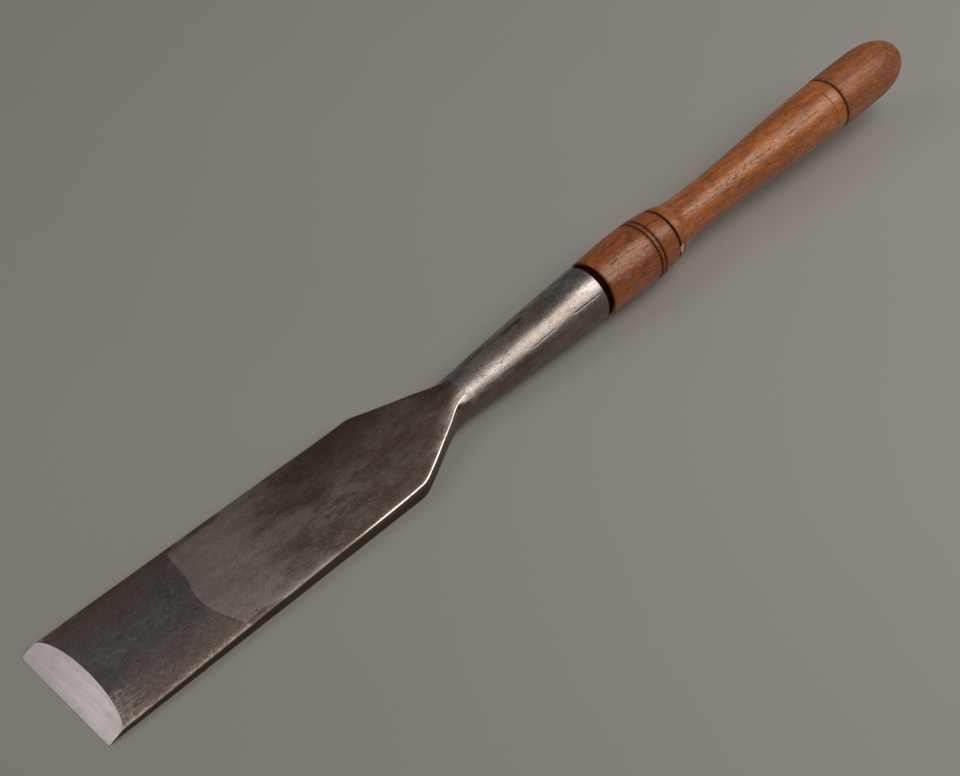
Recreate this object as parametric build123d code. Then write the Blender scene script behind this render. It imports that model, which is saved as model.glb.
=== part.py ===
from build123d import *
import os
from math import atan, cos, degrees, exp, hypot, log, pi, radians, sin, tan

# A slick: a long, wide socket chisel that lies on its flat back.
# Millimetres. While it is drawn, X runs from the cutting edge (X = 0) to the butt, Y runs
# across the blade and Z up from the flat back. The last step centres it on X.

# ---- Blade ----
EDGE_WIDTH = 89.0            # across the cutting edge
SHOULDER_WIDTH = 80.5        # the blade narrows a little towards the shoulders
BLADE_LENGTH = 266.0         # cutting edge to shoulders
EDGE_WALL = 3.9              # height of the side wall where the blade begins
SHOULDER_WALL = 12.2         # height of the side wall at the shoulders, before the rise
EDGE_THICKNESS = 8.5         # crown of the face where the blade begins
SHOULDER_THICKNESS = 15.3    # crown of the face at the shoulders, before the rise
BEVEL_ANGLE = 24.5           # of the ground bevel, in degrees
BACK_EDGE_BREAK = 0.8        # rounding where the side walls meet the flat back

# ---- Weld between the steel bit and the iron body ----
# Points of the weld line on the face: (X, Y), from one side wall to the other.
WELD_LINE = [(107.5, -60), (106, -38), (101, -17), (100.5, -3), (105, 12), (105.5, 30), (104.5, 60)]
WELD_LAP = 2.2               # the weld leans back by this much for each mm below the face
WELD_LEVEL = 11.0            # height at which the weld line above is drawn

# ---- Neck ----
NECK_X = 332.0               # where the socket is welded on
NECK_HALF_WIDTH = 17.0
NECK_HALF_HEIGHT = 14.0
SHOULDER_SLOPE = 0.49        # half width lost for each mm of length behind the shoulders
RISE_SLOPE = 0.19            # extra height for each mm of length behind the shoulders
RISE_BLEND = 9.0             # softness of the turn where the face begins to rise
NECK_BLEND = 2.0             # softness of the turn from the shoulders into the neck
ARRIS_ANGLE = 34.0           # the arris joins the socket this far from its top, in degrees
ARRIS_BLEND = 1.8            # softness of the arris's turn along the socket
ROUND_START = 318.0          # between these two places the arris fades into the socket
ROUND_END = 358.0
WALL_BULGE = 1.8             # how far the side walls swell out by the time they reach the neck
BULGE_START = 284.0
LEAST_FLAT = 1.0             # half width of the flat that is left under the neck

# ---- Socket ----
MOUTH_X = 466.5              # centre of the socket's mouth
MOUTH_Z = 23.3
AXIS_RISE = 0.06             # the handle's axis climbs this much for each mm of length
MOUTH_RADIUS = 22.5
MOUTH_WALL = 3.0
LIP_WEAR = 0.9               # how much of the mouth's outer lip is worn away
MIDDLE_X = 400.0             # a section half way along the socket
MIDDLE_HALF_WIDTH = 20.4
MIDDLE_HALF_HEIGHT = 18.2
MIDDLE_DROP = 0.3            # its underside lies this much lower than the mouth's
CAVITY_DEPTH = 116.0
CAVITY_TIP_RADIUS = 6.4

# ---- Handle, along its own axis from the socket's mouth ----
TENON_LENGTH = 106.0         # leaves the cavity's narrow end empty
TAPER_CLEARANCE = 0.05       # between the tenon and the cavity, square to the cone
SHOULDER_GAP = 5.2           # bare tenon between the mouth and the handle's shoulder
SHOULDER_RADIUS = 22.0
COLLAR_START = (6.4, 22.8)   # distance along the axis and radius, here and below
COLLAR_SWELL = (50.0, 24.6)
COLLAR_END = (78.2, 22.8)
COLLAR_LINES = [55.9, 60.6]  # two incised lines
LINE_WIDTH = 1.1
LINE_DEPTH = 0.6
NECK_GROOVE_DEPTH = 2.4      # the deep groove between the collar and the grip
COVE = [(80.2, 22.2), (84.5, 21.8), (88.0, 21.1), (91.5, 19.6), (96.5, 18.4), (105.5, 17.6)]
GRIP = [(123.5, 17.2), (151.6, 17.5), (180.6, 18.6), (219.7, 20.6), (245.0, 21.7), (270.6, 22.4)]
FAINT_LINE_DEPTH = 0.3
FILLET_START = (271.4, 22.4)  # the narrow band between the faint line and the butt's groove
FILLET_END = (282.0, 22.7)
BUTT_GROOVE_DEPTH = 1.2
BUTT_START = (283.7, 22.8)
BUTT_SWELL = (312.0, 23.1)   # the butt is fullest here
DOME_START = (331.0, 22.9)
DOME_LENGTH = 43.0
DOME_FULLNESS = 2.2          # 2 is an ellipse, more is blunter
DOME_STEPS = 8

# ---- Construction ----
CUT_MARGIN = 20.0            # how far cutting tools reach past the metal
BLADE_STEPS = 9              # stretches between the drawn sections
SHOULDER_STEPS = 7
SOCKET_STEPS = 8
WALL_STEPS = 6


def blend_max(a, b, softness):
    """The larger of two values, with a soft turn from one to the other."""
    return max(a, b) + softness * log(1 + exp(-abs(a - b) / softness))


def blend_min(a, b, softness):
    """The smaller of two values, with a soft turn from one to the other."""
    return -blend_max(-a, -b, softness)


def smooth_step(share):
    """A soft step from 0 to 1 while share goes from 0 to 1."""
    share = min(max(share, 0), 1)
    return share * share * (3 - 2 * share)


def spread(start, end, count):
    """Evenly spread places from start to end, both included."""
    return [start + (end - start) * step / count for step in range(count + 1)]


def drawing_plane(x, z=0.0, lean=0.0):
    """A plane across the tool. lean tips it towards the socket's rising axis."""
    return Plane(origin=(x, 0, z), x_dir=(0, 1, 0), z_dir=(1, 0, lean))


def socket_oval(x):
    """Half width, half height and centre height of the socket's outside."""
    share = (x - NECK_X) / (MOUTH_X - NECK_X)
    middle = (MIDDLE_X - NECK_X) / (MOUTH_X - NECK_X)
    weights = (
        (share - middle) * (share - 1) / middle,
        share * (share - 1) / (middle * (middle - 1)),
        share * (share - middle) / (1 - middle),
    )
    middle_z = MOUTH_Z - MOUTH_RADIUS + MIDDLE_HALF_HEIGHT - MIDDLE_DROP
    columns = (
        (NECK_HALF_WIDTH, MIDDLE_HALF_WIDTH, MOUTH_RADIUS),
        (NECK_HALF_HEIGHT, MIDDLE_HALF_HEIGHT, MOUTH_RADIUS),
        (NECK_HALF_HEIGHT, middle_z, MOUTH_Z),
    )
    return [sum(weight * value for weight, value in zip(weights, column)) for column in columns]


def shoulder_line(x):
    """Distance of the arris from the middle while the shoulders narrow in a straight line."""
    return SHOULDER_WIDTH / 2 - SHOULDER_SLOPE * (x - BLADE_LENGTH)


def half_width(x):
    """Half the width at the widest place of a section behind the shoulders."""
    return blend_max(shoulder_line(x), socket_oval(max(x, NECK_X))[0], NECK_BLEND)


def face_heights(x):
    """Heights of the side wall and of the crown, before they run into the socket."""
    part = x / BLADE_LENGTH
    rise = RISE_SLOPE * blend_max(x - BLADE_LENGTH, 0, RISE_BLEND)
    wall = EDGE_WALL + (SHOULDER_WALL - EDGE_WALL) * part + rise
    top = EDGE_THICKNESS + (SHOULDER_THICKNESS - EDGE_THICKNESS) * part + rise
    return wall, top


def arris_place(x):
    """Distance of the arris from the middle, and its height, behind the shoulders."""
    wide, high, centre = socket_oval(max(x, NECK_X))
    angle = radians(ARRIS_ANGLE)
    across = blend_max(shoulder_line(x), wide * sin(angle), ARRIS_BLEND)
    return across, blend_min(face_heights(x)[0], centre + high * cos(angle), ARRIS_BLEND)


def neck_roundness(x):
    """0 where the arris is crisp, 1 where the socket is fully round."""
    return smooth_step((x - ROUND_START) / (ROUND_END - ROUND_START))


def face_top(x):
    """Height of the crown's middle behind the shoulders."""
    _, high, centre = socket_oval(max(x, NECK_X))
    blade_top = blend_min(face_heights(x)[1], centre + high, ARRIS_BLEND)
    return blade_top + (centre + high - blade_top) * neck_roundness(x)


def back_corner(x):
    """Height of the rounding beside the flat back."""
    share = min((x - BLADE_LENGTH) / (NECK_X - BLADE_LENGTH), 1) ** 2
    return BACK_EDGE_BREAK + (NECK_HALF_HEIGHT - LEAST_FLAT - BACK_EDGE_BREAK) * share


def wall_points(x, low):
    """Points of the side wall from its foot, at height low, up to the arris."""
    wide, high, centre = socket_oval(max(x, NECK_X))
    arris_y, arris_z = arris_place(x)
    foot_y = half_width(x)
    roundness = neck_roundness(x)
    bulge = WALL_BULGE * smooth_step((x - BULGE_START) / (NECK_X - BULGE_START))
    bulge /= hypot(foot_y - arris_y, arris_z - low)
    points = []
    for up in spread(0, 1, WALL_STEPS):
        angle = radians(90 - (90 - ARRIS_ANGLE) * up)
        out = bulge * sin(pi * up)
        wall_y = foot_y + (arris_y - foot_y) * up + out * (arris_z - low)
        wall_z = low + (arris_z - low) * up + out * (foot_y - arris_y)
        y = wall_y + (wide * sin(angle) - wall_y) * roundness
        z = wall_z + (centre + high * cos(angle) - wall_z) * roundness
        points.append((y, z))
    return points


def crown(arris, top, turn):
    """The face from arris to arris: the part of an ellipse within an angle of its top."""
    across, height = arris
    vertical = (top - height) / (1 - cos(radians(turn)))
    EllipticalCenterArc(
        (0, top - vertical), across / sin(radians(turn)), vertical, 90 - turn, arc_size=2 * turn
    )


def blade_section(x):
    """Section of the straight part of the blade: flat back, side walls and crowned face."""
    half = (EDGE_WIDTH + (SHOULDER_WIDTH - EDGE_WIDTH) * x / BLADE_LENGTH) / 2
    wall, top = face_heights(x)
    flat = half - BACK_EDGE_BREAK
    with BuildSketch(drawing_plane(x)) as sketch:
        with BuildLine():
            Line((-flat, 0), (flat, 0))
            EllipticalCenterArc((flat, BACK_EDGE_BREAK), BACK_EDGE_BREAK, BACK_EDGE_BREAK, -90, arc_size=90)
            Line((half, BACK_EDGE_BREAK), (half, wall))
            crown((half, wall), top, 90)
            Line((-half, wall), (-half, BACK_EDGE_BREAK))
            EllipticalCenterArc((-flat, BACK_EDGE_BREAK), BACK_EDGE_BREAK, BACK_EDGE_BREAK, 180, arc_size=90)
        make_face()
    return sketch.sketch.face()


def shoulder_section(x):
    """Section behind the shoulders, where the arrises run in and the back grows round."""
    share = smooth_step((x - BLADE_LENGTH) / (NECK_X - BLADE_LENGTH))
    corner = back_corner(x)
    wall = wall_points(x, corner)
    half, foot = wall[0]
    rounding = (corner - BACK_EDGE_BREAK) / (NECK_HALF_HEIGHT - LEAST_FLAT - BACK_EDGE_BREAK)
    flat = (half - BACK_EDGE_BREAK) * (1 - rounding) + LEAST_FLAT * rounding
    with BuildSketch(drawing_plane(x)) as sketch:
        with BuildLine():
            Line((-flat, 0), (flat, 0))
            EllipticalCenterArc((flat, foot), half - flat, foot, -90, arc_size=90)
            Spline(*wall)
            crown(wall[-1], face_top(x), 90 - (90 - ARRIS_ANGLE) * share)
            Spline(*[(-y, z) for y, z in reversed(wall)])
            EllipticalCenterArc((-flat, foot), half - flat, foot, 180, arc_size=90)
        make_face()
    return sketch.sketch.face()


def socket_section(x):
    """Section of the socket: an oval that still shows the blade's arrises near the neck."""
    _, high, centre = socket_oval(x)
    wall = wall_points(x, centre)
    lean = AXIS_RISE * (x - NECK_X) / (MOUTH_X - NECK_X)
    local_wall = [(y, z - centre) for y, z in wall]
    with BuildSketch(drawing_plane(x, centre, lean)) as sketch:
        with BuildLine():
            EllipticalCenterArc((0, 0), wall[0][0], high, 180, arc_size=180)
            Spline(*local_wall)
            crown(local_wall[-1], face_top(x) - centre, ARRIS_ANGLE)
            Spline(*[(-y, z) for y, z in reversed(local_wall)])
        make_face()
    return sketch.sketch.face()


def make_blade():
    """The whole blade and neck, bevelled at the edge, before it is divided at the weld."""
    straight = loft([blade_section(x) for x in spread(0, BLADE_LENGTH, BLADE_STEPS)])
    behind = [shoulder_section(x) for x in spread(BLADE_LENGTH, NECK_X, SHOULDER_STEPS)[1:]]
    shoulders = loft([blade_section(BLADE_LENGTH)] + behind)
    return straight + shoulders - bevel_waste()


def bevel_waste():
    """The wedge that grinding the bevel takes away."""
    reach = CUT_MARGIN + EDGE_THICKNESS
    with BuildSketch(Plane.XZ) as sketch:
        with BuildLine():
            Polyline(
                (0, 0),
                (reach / tan(radians(BEVEL_ANGLE)), reach),
                (-CUT_MARGIN, reach),
                (-CUT_MARGIN, 0),
                close=True,
            )
        make_face()
    return extrude(sketch.sketch, amount=EDGE_WIDTH, both=True)


def bit_zone():
    """A leaning block that holds everything in front of the weld."""
    drop = WELD_LEVEL + CUT_MARGIN
    rise = 2 * CUT_MARGIN
    back_shift = WELD_LAP * drop
    points = [(x + back_shift, y) for x, y in WELD_LINE]
    side = WELD_LINE[-1][1]
    with BuildSketch(Plane.XY.offset(-CUT_MARGIN)) as sketch:
        with BuildLine():
            line = Spline(*points)
            Polyline(line @ 1, (-3 * CUT_MARGIN, side), (-3 * CUT_MARGIN, -side), line @ 0)
        make_face()
    direction = Vector(-WELD_LAP, 0, 1)
    return extrude(sketch.sketch, amount=(drop + rise) * direction.length, dir=direction)


def handle_plane():
    """The plane of the socket's mouth, with its normal along the handle's axis."""
    return drawing_plane(MOUTH_X, MOUTH_Z, AXIS_RISE)


def make_socket():
    """The hollow cone, oval at the neck and round at its mouth."""
    outside = loft([socket_section(x) for x in spread(NECK_X, MOUTH_X, SOCKET_STEPS)])
    return outside - lip_waste() - cavity()


def lip_waste():
    """The ring outside the worn lip, which slants at 45 degrees."""
    reach = 1.0
    with BuildSketch(Plane.XZ) as sketch:
        with BuildLine():
            Polyline(
                (MOUTH_RADIUS - LIP_WEAR - reach, reach),
                (MOUTH_RADIUS + reach, -LIP_WEAR - reach),
                (MOUTH_RADIUS + 3 * reach, -LIP_WEAR - reach),
                (MOUTH_RADIUS + 3 * reach, reach),
                close=True,
            )
        make_face()
    return handle_plane() * revolve(sketch.sketch, axis=Axis.Z)


def cavity():
    """The tapered hole that holds the tenon."""
    bore = MOUTH_RADIUS - MOUTH_WALL
    cone = Cone(CAVITY_TIP_RADIUS, bore, CAVITY_DEPTH, align=(Align.CENTER, Align.CENTER, Align.MAX))
    return handle_plane() * cone


def bore_radius(along):
    """Radius of the cavity's cone at a distance along the axis from the mouth."""
    bore = MOUTH_RADIUS - MOUTH_WALL
    return bore + along * (bore - CAVITY_TIP_RADIUS) / CAVITY_DEPTH


def collar_radius(along):
    """Radius of the collar, which swells between its two ends."""
    swell_at, swell = COLLAR_SWELL
    end_at, end = COLLAR_START if along < swell_at else COLLAR_END
    return swell - (swell - end) * ((along - swell_at) / (end_at - swell_at)) ** 2


def outline_points(stations):
    """Turn (distance along the axis, radius) pairs into points of the outline."""
    return [(radius, along) for along, radius in stations]


def collar_curve(start, end):
    """The collar's outline between two places along the axis."""
    return Spline(*outline_points([(place, collar_radius(place)) for place in spread(start, end, 4)]))


def groove(start, end, depth):
    """A V-shaped turned groove between two points of the outline."""
    bottom = ((start[0] + end[0]) / 2 - depth, (start[1] + end[1]) / 2)
    return Polyline(start, bottom, end)


def collar_outline():
    """The collar from its rounded front edge to its back end, with its two incised lines."""
    stretches = [COLLAR_START[0]]
    for position in COLLAR_LINES:
        stretches += [position - LINE_WIDTH / 2, position + LINE_WIDTH / 2]
    stretches.append(COLLAR_END[0])
    for start, end in zip(stretches[0::2], stretches[1::2]):
        collar_curve(start, end)
    for start, end in zip(stretches[1:-1:2], stretches[2::2]):
        groove((collar_radius(start), start), (collar_radius(end), end), LINE_DEPTH)


def grip_outline():
    """The deep groove, the cove, the waisted grip and the two rings before the butt."""
    swell = outline_points(COVE + GRIP)
    band_start, band_end, butt_start = outline_points([FILLET_START, FILLET_END, BUTT_START])
    groove(outline_points([COLLAR_END])[0], swell[0], NECK_GROOVE_DEPTH)
    Spline(*swell)
    groove(swell[-1], band_start, FAINT_LINE_DEPTH)
    Line(band_start, band_end)
    groove(band_end, butt_start, BUTT_GROOVE_DEPTH)


def dome_points():
    """Points of the butt's dome, from its fullest ring to the end of the handle."""
    start, radius = DOME_START
    points = []
    for step in range(DOME_STEPS + 1):
        angle = radians(90 * step / DOME_STEPS)
        along = start + DOME_LENGTH * sin(angle) ** (2 / DOME_FULLNESS)
        points.append((radius * cos(angle) ** (2 / DOME_FULLNESS), along))
    points[-1] = (0, start + DOME_LENGTH)
    return points


def make_handle():
    """One piece of turned wood: tenon, collar, grooves, waisted grip and domed butt."""
    tip = (bore_radius(-TENON_LENGTH) - TAPER_CLEARANCE, -TENON_LENGTH)
    root = (bore_radius(SHOULDER_GAP) - TAPER_CLEARANCE, SHOULDER_GAP)
    collar_start, butt_start, butt_swell, dome_start = outline_points(
        [COLLAR_START, BUTT_START, BUTT_SWELL, DOME_START]
    )
    dome = dome_points()
    with BuildSketch(Plane.XZ) as sketch:
        with BuildLine():
            Polyline((0, tip[1]), tip, root, (SHOULDER_RADIUS, SHOULDER_GAP), collar_start)
            collar_outline()
            grip_outline()
            Spline(butt_start, butt_swell, dome_start)
            Spline(*dome, tangents=[(0, 1), (-1, 0)])
            Line(dome[-1], (0, tip[1]))
        make_face()
    return handle_plane() * revolve(sketch.sketch, axis=Axis.Z)


blade = make_blade()
zone = bit_zone()
pieces = {
    "steel_bit": blade & zone,
    "blade_body": blade - zone,
    "socket": make_socket(),
    "handle": make_handle(),
}

length = max(piece.bounding_box().max.X for piece in pieces.values())
print("overall length", round(length, 2), "axis rise", round(degrees(atan(AXIS_RISE)), 3), "degrees")
os.makedirs("parts", exist_ok=True)
for name, piece in pieces.items():
    export_step(Pos(-length / 2, 0, 0) * piece, f"parts/{name}.step")
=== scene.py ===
from math import atan2, cos, exp, hypot, log, pi, radians, sin, sqrt, tan

import bmesh
import bpy
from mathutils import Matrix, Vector, noise


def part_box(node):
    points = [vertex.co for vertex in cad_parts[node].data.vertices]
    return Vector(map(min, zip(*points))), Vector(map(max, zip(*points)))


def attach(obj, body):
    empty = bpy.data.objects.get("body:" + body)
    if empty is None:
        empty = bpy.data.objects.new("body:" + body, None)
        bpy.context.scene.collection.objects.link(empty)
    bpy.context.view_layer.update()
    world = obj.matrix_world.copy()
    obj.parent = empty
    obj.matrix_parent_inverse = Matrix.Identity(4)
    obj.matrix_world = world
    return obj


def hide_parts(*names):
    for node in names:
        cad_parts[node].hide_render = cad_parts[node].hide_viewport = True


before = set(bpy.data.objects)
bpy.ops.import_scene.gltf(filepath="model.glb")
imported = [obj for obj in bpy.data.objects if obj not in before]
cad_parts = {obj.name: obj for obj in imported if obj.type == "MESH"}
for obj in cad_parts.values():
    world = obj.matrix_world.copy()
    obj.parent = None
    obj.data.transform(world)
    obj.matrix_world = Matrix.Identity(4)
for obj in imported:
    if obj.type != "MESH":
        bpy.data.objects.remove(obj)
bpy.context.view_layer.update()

# Shapes are worked out in millimetres, with X counted from the cutting edge or, on the handle,
# along its axis from the socket's mouth. to_frame() and along_axis() put them in the frame.
MM = 0.001
EDGE_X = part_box("steel_bit")[0].x
NECK_X = (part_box("socket")[0].x - EDGE_X) / MM

# ---- Blade ----
EDGE_WIDTH = 89.0
SHOULDER_WIDTH = 80.5
BLADE_LENGTH = 266.0
EDGE_WALL = 3.9
SHOULDER_WALL = 12.2
EDGE_THICKNESS = 8.5
SHOULDER_THICKNESS = 15.3
BEVEL_ANGLE = radians(24.5)
EDGE_BREAK = 0.8
SHOULDER_ROUND = 0.9
WELD_LINE = [(107.5, -60), (106, -38), (101, -17), (100.5, -3), (105, 12), (105.5, 30), (104.5, 60)]
WELD_LAP = 2.2
WELD_LEVEL = 11.0
NECK_HALF_WIDTH = 17.0
NECK_HALF_HEIGHT = 14.0
SHOULDER_SLOPE = 0.49
RISE_SLOPE = 0.19
RISE_BLEND = 9.0
NECK_BLEND = 2.0
ARRIS_ANGLE = radians(34)
ARRIS_BLEND = 1.8
ROUND_START, ROUND_END = 306.0, 358.0
WALL_BULGE, BULGE_START = 1.8, 284.0
BLADE_CREASE = radians(18)
BIT_STEPS, BLADE_STEPS = (96, 96, 7), (190, 96, 8)
PLACING_START, PLACING_ROUNDS = 150.0, 4

# ---- Unevenness: depth and spacing of broad waves and fine ripples ----
FACE_WAVE, FACE_RIPPLE = (0.16, 34), (0.07, 11)
EDGE_WAVE = (0.12, 19)
SOCKET_WAVE, SOCKET_RIPPLE = (0.16, 26), (0.06, 7)
WOOD_WAVE, WOOD_RIPPLE = (0.13, 55), (0.035, 9)
EVEN_START, EVEN_END = 300, 328

# ---- Socket ----
MOUTH_X = 466.5
MOUTH_Z = 23.3
AXIS_RISE = 0.06
MOUTH_RADIUS = 22.5
MOUTH_WALL = 3.0
MIDDLE_X = 400.0
MIDDLE_HALF_WIDTH = 20.4
MIDDLE_HALF_HEIGHT = 18.2
MIDDLE_DROP = 0.3
CAVITY_DEPTH = 116.0
CAVITY_TIP_RADIUS = 6.4
SOCKET_CREASE = radians(40)
SOCKET_STEPS, CAVITY_STEPS = 150, 12
LIP_LENGTH = 1.2
SEAM_ANGLE = radians(47)
SEAM_RADIUS, SEAM_REACH = 21, 6
SEAM_CRACK_WIDTH, SEAM_CRACK_DEPTH = 0.33, 0.4
SEAM_CRACKS = [(392, 418, 0.34, -0.035), (434, 463, 0.42, 0.03)]   # start, end, depth, drift

# ---- Handle ----
TENON_LENGTH = 106.0
SHOULDER_GAP = 5.2
COLLAR_START, COLLAR_SWELL, COLLAR_END = (6.4, 22.8), (50.0, 24.6), (78.2, 22.8)
COLLAR_LINES = [55.9, 60.6]
COVE_AND_GRIP = [(80.2, 22.2), (84.5, 21.8), (88.0, 21.1), (91.5, 19.6), (96.5, 18.4), (105.5, 17.6),
                 (123.5, 17.2), (151.6, 17.5), (180.6, 18.6), (219.7, 20.6), (245.0, 21.7), (270.6, 22.4)]
BUTT_BAND = [(271.4, 22.4), (282.0, 22.7)]
BUTT = [(283.7, 22.8), (297.0, 23.05), (312.0, 23.1), (331.0, 22.9)]
DOME_LENGTH = 43.0
DOME_FULLNESS = 2.2
DOME_STEPS = 40
WOOD_CREASE = radians(48)
TENON_CLEARANCE = 0.05
COLLAR_LINE_HALF, COLLAR_LINE_DEPTH = 0.6, 0.6
COVE_GROOVE = (78.0, 80.4, 22.5, 2.4)     # start, end, radius, depth
BAND_LINE = (270.5, 271.5, 22.4, 0.3)
BUTT_GROOVE = (282.0, 283.7, 22.75, 1.25)
CHIP_AT, CHIP_ANGLE, CHIP_DEPTH = 81.6, radians(88), 0.9
STAIN_AT, STAIN_ANGLE = 23.0, radians(52)
CHECK_DEPTH, CHECK_WIDTH = 0.35, 0.2

# Fine open checks along the grain: start and end along the axis, start and end angle.
CHECKS = [(100, 256, radians(30), radians(32.5)), (12, 54, radians(17), radians(22)),
          (296, 330, radians(17), radians(4))]

# ---- Camera and light ----
VIEW_AZIMUTH, VIEW_ELEVATION = radians(-45.35), radians(46.57)
VIEW_DISTANCE = 1.2009
VIEW_TARGET = Vector((EDGE_X + 0.3605, 0.0044, 0))
LENS, SENSOR_WIDTH, VIEW_REACH = 63.69, 36, 20
WORLD_COLOUR, WORLD_STRENGTH = (1, 0.98, 0.96, 1), 0.11
FLOOR_HALF_SIZE, FLOOR_CELLS, FLOOR_DROP = 4.0, 24, 0.0002

# Softboxes: name, centre, aim, width, height, radiance, tint.
SOFTBOXES = [("right_key", (0.95, -0.72, 1.5), (0.55, -0.3, 0), 1.35, 1.5, 2.6, (1, 0.98, 0.955)),
             ("rear_left", (-0.88, 0.88, 1.5), (-0.42, 0, 0), 0.85, 0.85, 1.6, (1, 0.97, 0.96))]


# ======== Small helpers ========

def blend_max(a, b, softness):
    """The larger of two values, with a soft turn from one to the other."""
    return max(a, b) + softness * log(1 + exp(-abs(a - b) / softness))


def blend_min(a, b, softness):
    """The smaller of two values, with a soft turn from one to the other."""
    return -blend_max(-a, -b, softness)


def lerp(a, b, share):
    return a + (b - a) * share


def smooth(low, high, value):
    """0 below low, 1 above high, with a soft step between."""
    share = min(max((value - low) / (high - low), 0), 1)
    return share * share * (3 - 2 * share)


def hermite(points, place):
    """A smooth curve through (place, value) points."""
    last = len(points) - 2
    i = max([n for n in range(last + 1) if points[n][0] <= place] or [0])
    (a, ya), (b, yb) = points[i], points[i + 1]

    def slope(n):
        low, high = points[max(n - 1, 0)], points[min(n + 1, last + 1)]
        return (high[1] - low[1]) / (high[0] - low[0])

    t = min(max((place - a) / (b - a), 0), 1)
    size = b - a
    return (
        ya * (1 + 2 * t) * (1 - t) ** 2
        + yb * t * t * (3 - 2 * t)
        + slope(i) * size * t * (1 - t) ** 2
        - slope(i + 1) * size * t * t * (1 - t)
    )


def wobble(seed, *place):
    """Smooth noise from -1 to 1 at a place, the same on every run."""
    x, y, z = (tuple(place) + (0, 0, 0))[:3]
    return noise.noise(Vector((x + 17.3 * seed, y - 9.1 * seed, z + 4.7 * seed)))


def to_frame(x, y, z):
    """A place counted from the cutting edge in mm, as a point of the frame."""
    return Vector((EDGE_X + x * MM, y * MM, z * MM))


AXIS = Vector((1, 0, AXIS_RISE)).normalized()
AXIS_UP = Vector((-AXIS.z, 0, AXIS.x))
MOUTH = to_frame(MOUTH_X, 0, MOUTH_Z)


def along_axis(along, radius, angle):
    """A point of the handle. angle is 0 on top and grows towards -Y, the right-hand side."""
    side = Vector((0, -sin(angle), 0)) + AXIS_UP * cos(angle)
    return MOUTH + (AXIS * along + side * radius) * MM


def tube_faces(rings, around):
    """Faces between rings of points, and one face over each end."""
    faces = []
    for r in range(rings - 1):
        for n in range(around):
            following = (n + 1) % around
            faces.append(([r * around + n, r * around + following,
                           (r + 1) * around + following, (r + 1) * around + n], 0))
    faces.append((list(range(around)), 0))
    faces.append((list(range((rings - 1) * around, rings * around)), 0))
    return faces


def make_object(name, points, faces, body, node, values, materials):
    """A smooth-shaded mesh piece that rides on a body and stands for a CAD node."""
    mesh = bpy.data.meshes.new(name)
    mesh.from_pydata(points, [], [corners for corners, _ in faces])
    mesh.validate()
    for polygon, (_, material) in zip(mesh.polygons, faces):
        polygon.use_smooth = True
        polygon.material_index = material
    for key, amounts in values.items():
        mesh.attributes.new(key, "FLOAT", "POINT").data.foreach_set("value", amounts)
    edit = bmesh.new()
    edit.from_mesh(mesh)
    bmesh.ops.recalc_face_normals(edit, faces=edit.faces)
    edit.to_mesh(mesh)
    edit.free()
    piece = bpy.data.objects.new(name, mesh)
    bpy.context.scene.collection.objects.link(piece)
    for material in materials:
        mesh.materials.append(material)
    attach(piece, body)
    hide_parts(node)
    return piece


# ======== Blade and neck ========
# On the blade a section is a flat back, rounded back edges, two side walls and a crowned face
# that meets them at two arrises. Behind the shoulders the arrises run in towards the middle, the
# walls lean over to them, and the whole turns into the socket's oval.

def socket_oval(x):
    """Half width, half height and centre height of the socket's outside."""
    share = (x - NECK_X) / (MOUTH_X - NECK_X)
    middle = (MIDDLE_X - NECK_X) / (MOUTH_X - NECK_X)

    def through(a, b, c):
        return (a * (share - middle) * (share - 1) / middle
                + b * share * (share - 1) / (middle * (middle - 1))
                + c * share * (share - middle) / (1 - middle))

    wide = through(NECK_HALF_WIDTH, MIDDLE_HALF_WIDTH, MOUTH_RADIUS)
    high = through(NECK_HALF_HEIGHT, MIDDLE_HALF_HEIGHT, MOUTH_RADIUS)
    middle_z = MOUTH_Z - MOUTH_RADIUS + MIDDLE_HALF_HEIGHT - MIDDLE_DROP
    return wide, high, through(NECK_HALF_HEIGHT, middle_z, MOUTH_Z)


def shoulder_line(x):
    """Half width of the blade and of its narrowing shoulders, as far as the arris goes."""
    side = (EDGE_WIDTH + (SHOULDER_WIDTH - EDGE_WIDTH) * x / BLADE_LENGTH) / 2
    return blend_min(side, SHOULDER_WIDTH / 2 - SHOULDER_SLOPE * (x - BLADE_LENGTH), SHOULDER_ROUND)


def half_width(x):
    """Half width of the whole section, where it is widest."""
    return blend_max(shoulder_line(x), socket_oval(max(x, NECK_X))[0], NECK_BLEND)


def arris_place(x):
    """Distance of the arris from the middle, and its height."""
    wide, high, centre = socket_oval(max(x, NECK_X))
    part = x / BLADE_LENGTH
    rise = RISE_SLOPE * blend_max(x - BLADE_LENGTH, 0, RISE_BLEND)
    wall = lerp(EDGE_WALL, SHOULDER_WALL, part) + rise
    across = blend_max(shoulder_line(x), wide * sin(ARRIS_ANGLE), ARRIS_BLEND)
    return across, blend_min(wall, centre + high * cos(ARRIS_ANGLE), ARRIS_BLEND)


def neck_roundness(x):
    """0 where the walls are flat and the arris is crisp, 1 where the socket is fully round."""
    return smooth(ROUND_START, ROUND_END, x)


def face_top(x):
    """Height of the face's middle."""
    _, high, centre = socket_oval(max(x, NECK_X))
    rise = RISE_SLOPE * blend_max(x - BLADE_LENGTH, 0, RISE_BLEND)
    top = lerp(EDGE_THICKNESS, SHOULDER_THICKNESS, x / BLADE_LENGTH) + rise
    return lerp(blend_min(top, centre + high, ARRIS_BLEND), centre + high, neck_roundness(x))


def back_corner(x):
    """Height of the rounding beside the flat back."""
    share = min(max((x - BLADE_LENGTH) / (NECK_X - BLADE_LENGTH), 0), 1) ** 2
    return lerp(EDGE_BREAK, NECK_HALF_HEIGHT, share)


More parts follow.
